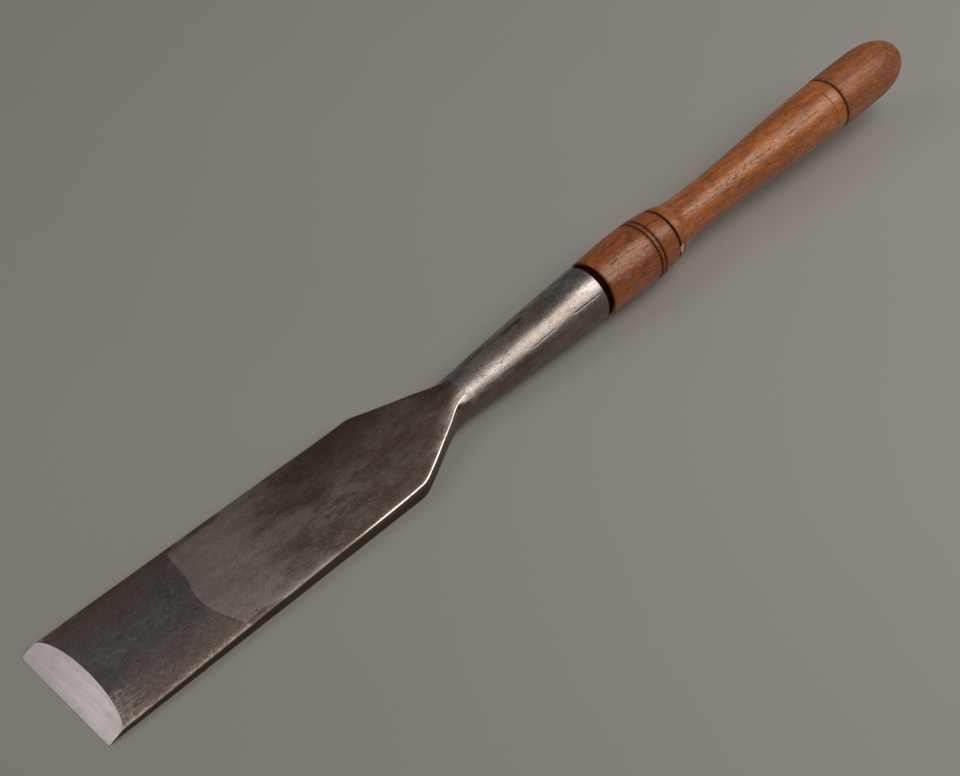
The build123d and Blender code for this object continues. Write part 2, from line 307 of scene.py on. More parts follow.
def forging(x, across):
    """Unevenness left in the face by the hammer and by wear."""
    (wave, spacing), (ripple, fine_spacing) = FACE_WAVE, FACE_RIPPLE
    uneven = wave * wobble(1, x / spacing, across * 1.6) + ripple * wobble(2, x / fine_spacing, across * 5)
    return uneven * (1 - across * across) ** 0.5 * (1 - smooth(EVEN_START, EVEN_END, x))


def face_point(x, across):
    """A place on the face: Y and height. across runs from -1 to 1."""
    arris_y, arris_z = wall_point(x, 1)
    turn = sin(lerp(pi / 2, ARRIS_ANGLE, smooth(BLADE_LENGTH, NECK_X, x)))
    sag = (1 - sqrt(max(1 - (across * turn) ** 2, 0))) / (1 - sqrt(max(1 - turn * turn, 0)))
    return arris_y * across, lerp(face_top(x), arris_z, sag) + forging(x, across)


def back_point(x, across):
    """A place on the flat back or on its rounded edges."""
    width = half_width(x)
    corner = back_corner(x)
    flat = width * (1 - (corner - EDGE_BREAK) / (NECK_HALF_HEIGHT - EDGE_BREAK)) - EDGE_BREAK
    beyond = max(abs(across) * width - max(flat, 0), 0) / (width - max(flat, 0))
    return width * across, corner * (1 - sqrt(max(1 - beyond * beyond, 0)))


def wall_point(x, up):
    """A place on the side wall, from the back's rounding (0) up to the arris (1)."""
    wide, high, centre = socket_oval(max(x, NECK_X))
    arris_y, arris_z = arris_place(x)
    angle = lerp(pi / 2, ARRIS_ANGLE, up)
    foot_y, foot_z = half_width(x), back_corner(x)
    share = neck_roundness(x)
    height = hypot(foot_y - arris_y, arris_z - foot_z)
    bulge = WALL_BULGE * smooth(BULGE_START, NECK_X, x) * sin(pi * up) / height
    y = lerp(foot_y, arris_y, up) + bulge * (arris_z - foot_z)
    z = lerp(foot_z, arris_z, up) + bulge * (foot_y - arris_y)
    return lerp(y, wide * sin(angle), share), lerp(z, centre + high * cos(angle), share)


def section_point(x, across, up):
    """A point of a section, from the back (up = 0) to the face (up = 1)."""
    low, high = back_point(x, across), face_point(x, across)
    y, z = lerp(low[0], high[0], up), lerp(low[1], high[1], up)
    wall = wall_point(x, up)
    low_edge, high_edge = back_point(x, 1), face_point(x, 1)
    y += (wall[0] - lerp(low_edge[0], high_edge[0], up)) * abs(across) ** 3 * (1 if across > 0 else -1)
    z += (wall[1] - lerp(low_edge[1], high_edge[1], up)) * abs(across) ** 3
    return y, z


def weld_place(y, z):
    """X of the weld's slanted, wavy surface between the bit and the body."""
    line = sorted((y_at, x_at) for x_at, y_at in WELD_LINE)
    return hermite(line, y) + WELD_LAP * (WELD_LEVEL - z)


def blade_point(start, end, part, across, up):
    """A point of a stretch of blade between two end surfaces, in mm."""
    x = PLACING_START
    for _ in range(PLACING_ROUNDS):
        y, z = section_point(x, across, up)
        x = lerp(start(y, z), end(y, z), part)
    wave, spacing = EDGE_WAVE
    wave *= wobble(3, x / spacing, 3 * across) * across * abs(across) ** 7
    return x, y + wave * (1 - smooth(EVEN_START, EVEN_END, x)), z


def blade_piece(name, node, start, end, steps, end_material, materials):
    """A closed block of blade: face, back, two side walls and two ends."""
    along, width, height = steps
    points, index, values = [], {}, {"along": [], "across": [], "up": []}

    def corner(a, i, k):
        if (a, i, k) not in index:
            across = -cos(pi * i / width)
            x, y, z = blade_point(start, end, a / along, across, k / height)
            index[a, i, k] = len(points)
            points.append(to_frame(x, y, z))
            for key, value in (("along", x), ("across", across), ("up", k / height)):
                values[key].append(value)
        return index[a, i, k]

    faces = []

    def patch(corners, material=0):
        faces.append(([corner(*place) for place in corners], material))

    for a in range(along):
        for i in range(width):
            for k in (0, height):
                patch([(a, i, k), (a + 1, i, k), (a + 1, i + 1, k), (a, i + 1, k)])
        for k in range(height):
            for i in (0, width):
                patch([(a, i, k), (a + 1, i, k), (a + 1, i, k + 1), (a, i, k + 1)])
    for i in range(width):
        for k in range(height):
            for a, material in ((0, end_material), (along, 0)):
                patch([(a, i, k), (a, i + 1, k), (a, i + 1, k + 1), (a, i, k + 1)], material)
    sharpen(make_object(name, points, faces, "tool_head", node, values, materials), BLADE_CREASE)


def sharpen(piece, angle):
    """Keep shading crisp across edges that turn more than an angle."""
    edit = bmesh.new()
    edit.from_mesh(piece.data)
    for edge in edit.edges:
        if len(edge.link_faces) == 2 and edge.calc_face_angle() > angle:
            edge.smooth = False
    edit.to_mesh(piece.data)
    edit.free()


# ======== Socket ========

def seam_depth(x, offset):
    """How deep the open weld seam is, offset mm to one side of its line."""
    depth = 0
    for start, end, deepest, drift in SEAM_CRACKS:
        middle = drift * (x - (start + end) / 2) + 0.25 * wobble(5, x / 5)
        within = smooth(start, start + 5, x) * (1 - smooth(end - 5, end, x))
        within *= 0.65 + 0.35 * wobble(6, x / 3.5)
        depth = max(depth, deepest * within * exp(-((offset - middle) / SEAM_CRACK_WIDTH) ** 2))
    return depth


def socket_angles():
    """Angles around the socket, close together along the weld seam and the fading arrises."""
    fine = [SEAM_ANGLE + radians(0.42) * n for n in range(-11, 12)]
    near_arris = [ARRIS_ANGLE + radians(1.3) * n for n in range(-6, 6)]
    angles = fine + [angle for angle in near_arris if angle < fine[0] - 0.01]
    angles += [2 * pi - angle for angle in near_arris]
    angles += [radians(3.2) * n for n in range(113)
               if min(abs(radians(3.2) * n - angle) for angle in angles) > radians(1.5)]
    return sorted(angles)


def oval_point(x, angle):
    """Y and Z of the socket's outside, with the arrises that still show near the neck."""
    wide, high, centre = socket_oval(x)
    y, z = wide * sin(angle), centre + high * cos(angle)
    turn = abs((angle + pi) % (2 * pi) - pi)
    if turn > pi / 2:
        return y, z
    if turn > ARRIS_ANGLE:
        wall = wall_point(x, (pi / 2 - turn) / (pi / 2 - ARRIS_ANGLE))
        return (wall[0] if y > 0 else -wall[0]), wall[1]
    return face_point(x, sin(angle) / sin(ARRIS_ANGLE))


def socket_point(x, angle):
    """A point of the socket's outside. The last section is square to the axis."""
    wide, high, _ = socket_oval(x)
    lean = -(x - NECK_X) / (MOUTH_X - NECK_X) * AXIS_RISE * high * cos(angle)
    (wave, spacing), (ripple, fine_spacing) = SOCKET_WAVE, SOCKET_RIPPLE
    forged = wave * wobble(7, x / spacing, 1.7 * cos(angle), 1.7 * sin(angle))
    forged += ripple * wobble(8, x / fine_spacing, 5 * cos(angle), 5 * sin(angle))
    offset = (angle - SEAM_ANGLE) * (wide + high) / 2
    dent = seam_depth(x, offset) if abs(offset) < SEAM_REACH else 0
    inset = forged * smooth(NECK_X, NECK_X + 30, x) * (1 - 0.6 * smooth(450, 466, x)) - dent
    y, z = oval_point(x, angle)
    return x + lean, -(y + inset * sin(angle)), max(z + inset * cos(angle), 0.02)


def socket_outline():
    """(place from the mouth, radius) over the worn lip, down the bore and across its end."""
    bore = MOUTH_RADIUS - MOUTH_WALL
    lip = [(-0.75, MOUTH_RADIUS - 0.05), (-0.35, MOUTH_RADIUS - 0.3), (-0.1, MOUTH_RADIUS - 0.7),
           (0, MOUTH_RADIUS - 1.2), (0, bore + 0.5), (-0.4, bore + 0.03), (-1.5, bore - 0.12)]
    for n in range(1, CAVITY_STEPS + 1):
        share = n / CAVITY_STEPS
        lip.append((-CAVITY_DEPTH * n / CAVITY_STEPS, lerp(bore, CAVITY_TIP_RADIUS, share)))
    return lip + [(-CAVITY_DEPTH, 0.4)]


def lip_wear(place, radius, angle):
    """Unevenness of the lip's end, none inside the bore."""
    on_lip = place > -1 and radius > MOUTH_RADIUS - MOUTH_WALL + 1
    return 0.12 * wobble(9, 2.4 * cos(angle), 2.4 * sin(angle)) if on_lip else 0


def make_socket(materials):
    """The forged cone: outside, worn lip, bore and the end of the cavity."""
    angles = socket_angles()
    rings, along = [], []
    stations = [NECK_X + (MOUTH_X - LIP_LENGTH - NECK_X) * n / SOCKET_STEPS for n in range(SOCKET_STEPS + 1)]
    for x in stations:
        rings.append([to_frame(*socket_point(x, angle)) for angle in angles])
        along.append(x)
    for place, radius in socket_outline():
        worn = [place + lip_wear(place, radius, angle) - 0.1 for angle in angles]
        rings.append([along_axis(at, radius, angle) for at, angle in zip(worn, angles)])
        along.append(MOUTH_X + place)
    seam = []
    for r, x in enumerate(along):
        for angle in angles:
            offset = (angle - SEAM_ANGLE) * SEAM_RADIUS
            open_seam = r < len(stations) and abs(offset) < SEAM_REACH
            seam.append(seam_depth(x, offset) / SEAM_CRACK_DEPTH if open_seam else 0)
    # top: 1 a little right of the top, where the socket gets fewer brown patches, partly rubbed iron and
    # partly a painted highlight.
    top = [cos(angle - radians(32)) for angle in angles]
    # low: 1 down the right-hand side and underside, which are painted darker, with rust and painted shade.
    low = [smooth(radians(44), radians(76), angle) * (1 - smooth(radians(250), radians(300), angle))
           for angle in angles]
    outside = len(stations) + 4
    values = {"along": [x for x in along for _ in angles], "seam": seam,
              "top": top * len(along), "low": low * len(along),
              "inner": [0.0 if r < outside else 1.0 for r in range(len(rings)) for _ in angles]}
    points = [point for ring in rings for point in ring]
    faces = tube_faces(len(rings), len(angles))
    piece = make_object("forged_socket", points, faces, "tool_head", "socket",
                        values, materials)
    sharpen(piece, SOCKET_CREASE)


# ======== Handle ========

def collar_radius(along):
    swell_at, swell = COLLAR_SWELL
    end_at, end = COLLAR_START if along < swell_at else COLLAR_END
    return swell - (swell - end) * ((along - swell_at) / (end_at - swell_at)) ** 2


def tenon_radius(along):
    bore = MOUTH_RADIUS - MOUTH_WALL
    return bore + along * (bore - CAVITY_TIP_RADIUS) / CAVITY_DEPTH - TENON_CLEARANCE


def turned_outline():
    """(along, radius, grime and painted shade) down the whole handle, fine enough for its grooves."""
    line = [(-TENON_LENGTH, 0.3, 1), (-TENON_LENGTH, tenon_radius(-TENON_LENGTH), 1)]
    line += [(-60, tenon_radius(-60), 1), (-20, tenon_radius(-20), 1)]
    line += [(n, tenon_radius(n), 1) for n in (-2, 0, 2, 4, SHOULDER_GAP - 0.3)]
    line += [(SHOULDER_GAP, 20.4, 1), (SHOULDER_GAP + 0.05, 21.2, 0.8), (SHOULDER_GAP + 0.25, 21.9, 0.5),
             (SHOULDER_GAP + 0.6, 22.4, 0.25), (SHOULDER_GAP + 1.1, 22.72, 0.1)]

    def stretch(start, end, radius_of, step=1.1):
        count = max(int((end - start) / step), 2)
        line.extend((start + (end - start) * n / count, radius_of(start + (end - start) * n / count), 0)
                    for n in range(count + 1))

    def groove(start, end, radius, depth, grime_and_shade=1.0):
        # Grime and painted shade grow towards the groove's bottom.
        for share, cut, dirt_and_shade in ((0.06, 0.06, 0.2), (0.2, 0.3, 0.7), (0.36, 0.75, 1), (0.5, 1, 1),
                                 (0.64, 0.75, 1), (0.8, 0.3, 0.7), (0.94, 0.06, 0.2)):
            line.append((lerp(start, end, share), radius - depth * cut, dirt_and_shade * grime_and_shade))

    def swell(along):
        return hermite(COVE_AND_GRIP, along)

    first, second = COLLAR_LINES
    beside = COLLAR_LINE_HALF + 0.1
    stretch(SHOULDER_GAP + 1.6, first - beside, collar_radius)
    for place, following in ((first, second - beside), (second, COVE_GROOVE[0] - 0.1)):
        groove(place - COLLAR_LINE_HALF, place + COLLAR_LINE_HALF, collar_radius(place), COLLAR_LINE_DEPTH)
        stretch(place + beside, following, collar_radius)
    groove(*COVE_GROOVE)
    stretch(COVE_GROOVE[1] + 0.1, 98, swell, 0.6)
    stretch(98.8, BAND_LINE[0] - 0.1, swell, 1.4)
    groove(*BAND_LINE, 0.5)
    stretch(BAND_LINE[1] + 0.1, BUTT_GROOVE[0] - 0.1, lambda along: hermite(BUTT_BAND, along))
    groove(*BUTT_GROOVE)
    stretch(BUTT_GROOVE[1] + 0.1, BUTT[-1][0], lambda along: hermite(BUTT, along))
    dome_at, dome_radius = BUTT[-1]
    for n in range(1, DOME_STEPS):
        angle = pi / 2 * n / DOME_STEPS
        line.append((dome_at + DOME_LENGTH * sin(angle) ** (2 / DOME_FULLNESS),
                     dome_radius * cos(angle) ** (2 / DOME_FULLNESS), 0))
    line.append((dome_at + DOME_LENGTH, 0.05, 0))
    return line


def chip(along, angle):
    """Share of the chip knocked out of the grip's front lip."""
    away = hypot((along - CHIP_AT) / 3.0, (angle - CHIP_ANGLE) / radians(15))
    away += 0.35 * wobble(11, along / 1.6, angle * 9)
    return 1 - smooth(0.55, 1.0, away)


def check_share(along, angle):
    """Share of an open check at a place: broken dark dashes that follow the grain."""
    share = 0
    for start, end, first, last in CHECKS:
        if start < along < end:
            middle = lerp(first, last, (along - start) / (end - start)) + radians(0.8) * wobble(14, along / 7)
            beside = (angle - middle) * 20
            dash = smooth(-0.12, 0.1, wobble(15, along / 3.1)) * smooth(-0.35, 0.05, wobble(16, along / 17))
            share = max(share, dash * exp(-(beside / CHECK_WIDTH) ** 2))
    return share


def handle_angles():
    """Angles around the handle, close together where the checks run."""
    fine = [radians(28 + 0.45 * n) for n in range(16)] + [radians(2.5 + 1.3 * n) for n in range(19)]
    rest = [radians(2.6) * n for n in range(139)]
    return sorted(fine + [angle for angle in rest if min(abs(angle - other) for other in fine) > radians(1)])


def out_of_round(along, angle):
    """Broad and fine unevenness of the turned wood, none on the tenon."""
    (wave, spacing), (ripple, fine_spacing) = WOOD_WAVE, WOOD_RIPPLE
    a, b = cos(angle), sin(angle)
    worn = wave * wobble(12, along / spacing, a * 1.2, b * 1.2)
    worn += ripple * wobble(13, along / fine_spacing, a * 4, b * 4)
    return worn * smooth(SHOULDER_GAP, SHOULDER_GAP + 2, along)


def stain(along, angle):
    """Share of the stain on the collar."""
    away = hypot((along - STAIN_AT) / 4.5, (angle - STAIN_ANGLE) / radians(8))
    return 1 - smooth(0.4, 1, away)


def make_handle(materials):
    """The turned handle, a little out of round, with worn grooves and a chipped lip."""
    outline = turned_outline()
    angles = handle_angles()
    grooves = [along for along, _, dirt_and_shade in outline if dirt_and_shade == 1 and along > SHOULDER_GAP]
    points, values = [], {"along": [], "dirt_and_shade": [], "chip": [], "check": [], "stain": []}
    for along, radius, dirt_and_shade in outline:
        # Grime and painted shade also fade out for a little way beside each groove.
        near = min(abs(along - place) for place in grooves)
        grime_and_shade = max(dirt_and_shade, 0.75 * exp(-near / 1.6) if along > SHOULDER_GAP else 1)
        for angle in angles:
            lost, check = chip(along, angle), check_share(along, angle)
            cut = CHIP_DEPTH * lost + CHECK_DEPTH * check
            uneven = out_of_round(along, angle) * min(radius / 20, 1)
            points.append(along_axis(along, max(radius + uneven - cut, 0.05), angle))
            for key, value in (("along", along), ("dirt_and_shade", grime_and_shade), ("chip", lost), ("check", check),
                               ("stain", stain(along, angle))):
                values[key].append(value)
    faces = tube_faces(len(outline), len(angles))
    piece = make_object("turned_handle", points, faces, "handle_body", "handle",
                        values, materials)
    sharpen(piece, WOOD_CREASE)


# ======== Materials ========

# ---- Colours of the metal: linear red, green, blue ----
BLOT = (0.09, 0.06, 0.047)
RUBBED = (0.62, 0.55, 0.5)
DARK_GRAIN = (0.07, 0.05, 0.04)
PIT = (0.05, 0.03, 0.02)
BIT_DARK = (0.165, 0.15, 0.145)
BIT_LIGHT = (0.235, 0.212, 0.205)
BIT_BROWN = (0.2, 0.15, 0.125)
BIT_MARGIN = (0.215, 0.148, 0.118)
BIT_STREAK_AND_SHEEN = (0.52, 0.43, 0.37)
BIT_PAINTED_GLINT = (0.8, 0.7, 0.6)
BIT_WALL = (0.13, 0.082, 0.062)
BEVEL_DARK = (0.6, 0.535, 0.52)
BEVEL_LIGHT = (0.8, 0.735, 0.72)
BEVEL_CLOUD = (0.5, 0.42, 0.4)
BEVEL_SPECK = (0.2, 0.13, 0.1)
BEVEL_PAINTED_SHADE = (0.42, 0.36, 0.35)
BEVEL_RIM_HIGHLIGHT = (1, 0.98, 0.94)
NECK_BROWN = (0.16, 0.098, 0.07)
NECK_RUST = (0.15, 0.078, 0.042)
IRON_DARK = (0.22, 0.18, 0.155)
IRON_LIGHT = (0.42, 0.365, 0.325)
IRON_BROWN = (0.19, 0.12, 0.09)
IRON_SHADE = (0.1, 0.066, 0.05)
IRON_FRESH = (0.5, 0.44, 0.39)
IRON_MARGIN = (0.13, 0.08, 0.06)
WORN_ARRIS_AND_HIGHLIGHT = (0.84, 0.78, 0.72)
WALL_BROWN = (0.12, 0.08, 0.062)
WALL_AT_NECK = (0.215, 0.165, 0.14)
SOCKET_DARK = (0.38, 0.325, 0.29)
SOCKET_LIGHT = (0.6, 0.54, 0.49)
SOCKET_BROWN = (0.22, 0.15, 0.12)
SOCKET_RUST_AND_SHADE = (0.185, 0.13, 0.105)
OPEN_SEAM = (0.012, 0.008, 0.006)
SOCKET_INSIDE = (0.03, 0.02, 0.015)

# ---- Colours of the wood and the floor ----
WOOD_DARK = (0.43, 0.1, 0.023)
WOOD_LIGHT = (0.74, 0.225, 0.058)
WOOD_STREAK = (0.24, 0.07, 0.026)
COLLAR_RED = (0.33, 0.06, 0.014)
BUTT_BROWN = (0.24, 0.07, 0.024)
WOOD_MOTTLE = (0.115, 0.036, 0.015)
FLECK_DARK = (0.12, 0.033, 0.012)
FLECK_LIGHT = (0.95, 0.42, 0.15)
PORE = (0.07, 0.021, 0.009)
STAIN = (0.25, 0.26, 0.2)
GRIME_AND_PAINTED_SHADE = (0.009, 0.004, 0.003)
OPEN_CHECK = (0.018, 0.008, 0.005)
BARE_WOOD = (0.78, 0.64, 0.54)
GLOSS_TINT = (1, 0.8, 0.62)
FLOOR_DARK = (0.452, 0.432, 0.394)
FLOOR_LIGHT = (0.468, 0.448, 0.41)
FLOOR_SPECK = (0.41, 0.392, 0.355)


class Paint:
    """A material under construction: short calls add nodes and return their outputs."""

    def __init__(self, name):
        self.material = bpy.data.materials.new(name)
        self.material.use_nodes = True
        self.tree = self.material.node_tree
        self.shader = self.tree.nodes["Principled BSDF"]

    def node(self, kind, inputs, **settings):
        node = self.tree.nodes.new(kind)
        for key, value in settings.items():
            setattr(node, key, value)
        for key, value in inputs.items():
            if isinstance(value, bpy.types.NodeSocket):
                self.tree.links.new(value, node.inputs[key])
            else:
                node.inputs[key].default_value = value
        return node

    def place(self, scale, turn=0.0):
        """Object coordinates in metres, scaled along X, Y and Z."""
        spot = self.node("ShaderNodeTexCoord", {}).outputs["Object"]
        inputs = {"Vector": spot, "Scale": scale, "Rotation": (0, turn, 0)}
        return self.node("ShaderNodeMapping", inputs).outputs[0]

    def value(self, name):
        """A value kept on the mesh's points."""
        return self.node("ShaderNodeAttribute", {}, attribute_name=name).outputs["Fac"]

    def noise(self, place, scale, detail=4.0, rough=0.55, twist=0.0):
        inputs = {"Vector": place, "Scale": scale, "Detail": detail, "Roughness": rough, "Distortion": twist}
        return self.node("ShaderNodeTexNoise", inputs).outputs["Fac"]

    def step(self, value, low, high, start=0.0, end=1.0):
        """start below low, end above high, with a soft step between."""
        inputs = {"Value": value, "From Min": low, "From Max": high, "To Min": start, "To Max": end}
        return self.node("ShaderNodeMapRange", inputs, interpolation_type="SMOOTHSTEP").outputs[0]

    def math(self, operation, a, b=0.0, c=0.0):
        return self.node("ShaderNodeMath", {0: a, 1: b, 2: c}, operation=operation).outputs[0]

    def plus(self, a, b):
        return self.math("ADD", a, b)

    def minus(self, a, b):
        return self.math("SUBTRACT", a, b)

    def times(self, a, b):
        return self.math("MULTIPLY", a, b)

    def mix(self, share, a, b):
        """Colour a where share is 0, colour b where it is 1."""
        node = self.node("ShaderNodeMix", {}, data_type="RGBA")
        for socket, value in ((node.inputs[0], share), (node.inputs[6], a), (node.inputs[7], b)):
            if isinstance(value, bpy.types.NodeSocket):
                self.tree.links.new(value, socket)
            elif isinstance(value, tuple):
                socket.default_value = (*value, 1)
            else:
                socket.default_value = value
        return node.outputs[2]

    def bump(self, height, distance):
        """A surface direction that follows a height, distance metres for one unit of it."""
        inputs = {"Height": height, "Distance": distance, "Strength": 1.0}
        return self.node("ShaderNodeBump", inputs).outputs[0]

    def finish(self, **inputs):
        """Set or link the shader's sockets, and return the material."""
        for key, value in inputs.items():
            socket = self.shader.inputs[key.replace("_", " ")]
            if isinstance(value, bpy.types.NodeSocket):
                self.tree.links.new(value, socket)
            elif isinstance(value, tuple) and socket.type == "RGBA":
                socket.default_value = (*value, 1)
            else:
                socket.default_value = value
        return self.material


def iron_layers(paint, dark, light, brown, brown_share):
    """Mottled patina: its colour, the pits and the fine surface grain."""
    stretched = paint.place((0.55, 1.5, 1.5))
    even = paint.place((1, 1, 1))
    mottle = paint.noise(stretched, scale=24, detail=8, rough=0.68, twist=0.4)
    colour = paint.mix(paint.step(mottle, 0.4, 0.6), dark, light)
    patches = paint.noise(stretched, scale=62, detail=8, rough=0.75, twist=0.7)
    colour = paint.mix(paint.times(paint.step(patches, 0.46, 0.6), brown_share), colour, brown)
    blots = paint.noise(paint.place((0.8, 1.2, 1.2)), scale=190, detail=6, rough=0.75, twist=0.4)
    colour = paint.mix(paint.step(blots, 0.36, 0.47, 0.4, 0), colour, BLOT)
    colour = paint.mix(paint.step(blots, 0.54, 0.66, 0, 0.22), colour, RUBBED)
    grains = paint.noise(even, scale=900, detail=6, rough=0.75)
    colour = paint.mix(paint.step(grains, 0.35, 0.5, 0.45, 0), colour, DARK_GRAIN)
    colour = paint.mix(paint.step(grains, 0.52, 0.68, 0, 0.3), colour, RUBBED)
    pit_field = paint.noise(even, scale=640, detail=4, rough=0.6)
    pit_zones = paint.noise(even, scale=30, detail=5, rough=0.65)
    pits = paint.times(paint.step(pit_field, 0.62, 0.68), paint.step(pit_zones, 0.45, 0.6))
    colour = paint.mix(paint.times(pits, 0.62), colour, PIT)
    return colour, pits, grains


def scratches(paint, along_scale, across_scale):
    """Fine lines that run along X."""
    return paint.noise(paint.place((along_scale, across_scale, across_scale)), scale=1.0, detail=4, rough=0.6)


def iron_finish(paint, colour, pits, grains, rough, lines=None, depth=0.00013):
    """Worn metal with its grain, pits and, where there are any, fine lines in relief."""
    height = paint.minus(paint.times(grains, 0.55), paint.times(pits, 1.3))
    if lines is not None:
        height = paint.plus(height, paint.times(lines, 0.25))
    rough = paint.plus(rough, paint.times(pits, 0.25))
    return paint.finish(Base_Color=colour, Metallic=0.93, Roughness=rough, Normal=paint.bump(height, depth))


def make_bit_steel():
    """The bit's face: dark blue-grey and browner towards its side walls; its right-hand margin is painted
    lighter, in part pale rubbed streaks and in part a painted highlight, with a painted glint near the
    cutting edge.
    """
    paint = Paint("bit_steel")
    colour, pits, grains = iron_layers(paint, BIT_DARK, BIT_LIGHT, BIT_BROWN, 0.55)
    across = paint.value("across")
    width = paint.math("ABSOLUTE", across)
    cloud = paint.noise(paint.place((0.4, 1.3, 1.3)), scale=48, detail=8, rough=0.72)
    margin = paint.plus(width, paint.step(cloud, 0.25, 0.75, -0.34, 0.34))
    rust = paint.times(paint.step(margin, 0.4, 0.85), 0.85)
    colour = paint.mix(rust, colour, BIT_MARGIN)
    # Pale speckled streaks on the right-hand margin: rubbed metal in part, and in part a painted highlight on
    # the side that faces the light.
    speckle = paint.noise(paint.place((0.45, 1, 1)), scale=620, detail=6, rough=0.75)
    right = paint.minus(margin, paint.step(across, -0.4, 0.4, 0, 0.5))
    margin_streak_and_sheen = paint.times(paint.step(right, 0.46, 0.72), paint.step(speckle, 0.4, 0.6, 0.15, 1))
    colour = paint.mix(paint.times(margin_streak_and_sheen, 0.7), colour, BIT_STREAK_AND_SHEEN)
    # Painted glint: a near-white speckled patch on the right-hand margin close to the cutting edge.
    front = paint.times(paint.step(right, 0.42, 0.6), paint.step(paint.value("along"), 14, 42, 1, 0))
    front = paint.times(front, paint.step(speckle, 0.42, 0.56))
    colour = paint.mix(paint.times(front, 0.7), colour, BIT_PAINTED_GLINT)
    wall = paint.times(paint.step(width, 0.9985, 0.9999), 0.9)
    colour = paint.mix(wall, colour, BIT_WALL)
    lines = scratches(paint, 26, 2600)
    rough = paint.plus(paint.step(grains, 0.3, 0.7, 0.36, 0.48), paint.times(wall, 0.2))
    rough = paint.minus(rough, paint.times(margin_streak_and_sheen, 0.08))
    return iron_finish(paint, colour, pits, grains, rough, lines)


def make_bevel_steel():
    """The ground bevel: bright steel with fine grinding lines parallel to the edge, painted shade towards its
    left-hand end and a painted highlight along its top rim.
    """
    paint = Paint("ground_bevel")
    lines = paint.noise(paint.place((2600, 24, 2600)), scale=1.0, detail=5, rough=0.7)
    broad = paint.noise(paint.place((240, 9, 240)), scale=1.0, detail=3, rough=0.5)
    cloud = paint.noise(paint.place((1, 1, 1)), scale=70, detail=5, rough=0.65)
    colour = paint.mix(paint.step(lines, 0.35, 0.65), BEVEL_DARK, BEVEL_LIGHT)
    colour = paint.mix(paint.step(cloud, 0.45, 0.72, 0, 0.45), colour, BEVEL_CLOUD)
    speck = paint.noise(paint.place((1, 1, 1)), scale=190, detail=4, rough=0.7)
    colour = paint.mix(paint.step(speck, 0.69, 0.76, 0, 0.6), colour, BEVEL_SPECK)
    # Painted shade: the bevel is darkened towards its left-hand end.
    colour = paint.mix(paint.step(paint.value("across"), -0.6, 0.9, 0, 0.5), colour, BEVEL_PAINTED_SHADE)
    # Painted highlight: a near-white line along the bevel's top rim, strongest towards the right-hand side.
    rim = paint.step(paint.value("up"), 0.87, 0.95)
    rim = paint.times(rim, paint.step(paint.value("across"), -0.1, 0.5, 1, 0.25))
    colour = paint.mix(paint.times(rim, 0.9), colour, BEVEL_RIM_HIGHLIGHT)
    rough = paint.plus(paint.step(lines, 0.3, 0.7, 0.26, 0.36), paint.step(broad, 0.3, 0.7, 0, 0.06))
    rough = paint.plus(rough, paint.times(rim, 0.2))
    height = paint.plus(lines, paint.times(broad, 0.6))
    return paint.finish(Base_Color=colour, Metallic=1.0, Roughness=rough, Normal=paint.bump(height, 0.00005))


def neck_tint(paint, colour):
    """Brown on the blade's face, clean grey past a curved line where the socket begins.

    The socket keeps no "across", which then reads as 0, the middle."""
    along = paint.value("along")
    mottle = paint.noise(paint.place((1, 1, 1)), scale=60, detail=6, rough=0.7)
    ragged = paint.plus(along, paint.step(mottle, 0.3, 0.7, -9, 9))
    across = paint.value("across")
    zone = paint.times(paint.step(ragged, 175, 265), paint.step(ragged, 327, 334, 1, 0))
    inside = paint.math("MAXIMUM", paint.step(across, -0.85, -0.4), paint.step(ragged, 265, 305, 1, 0))
    zone = paint.times(zone, inside)
    colour = paint.mix(paint.times(zone, 0.5), colour, NECK_BROWN)
    rim = paint.times(paint.step(ragged, 319, 326), paint.step(ragged, 330, 333, 1, 0))
    rim = paint.times(rim, paint.step(across, 0.1, 0.6))
    return paint.mix(paint.times(rim, 0.45), colour, NECK_RUST)


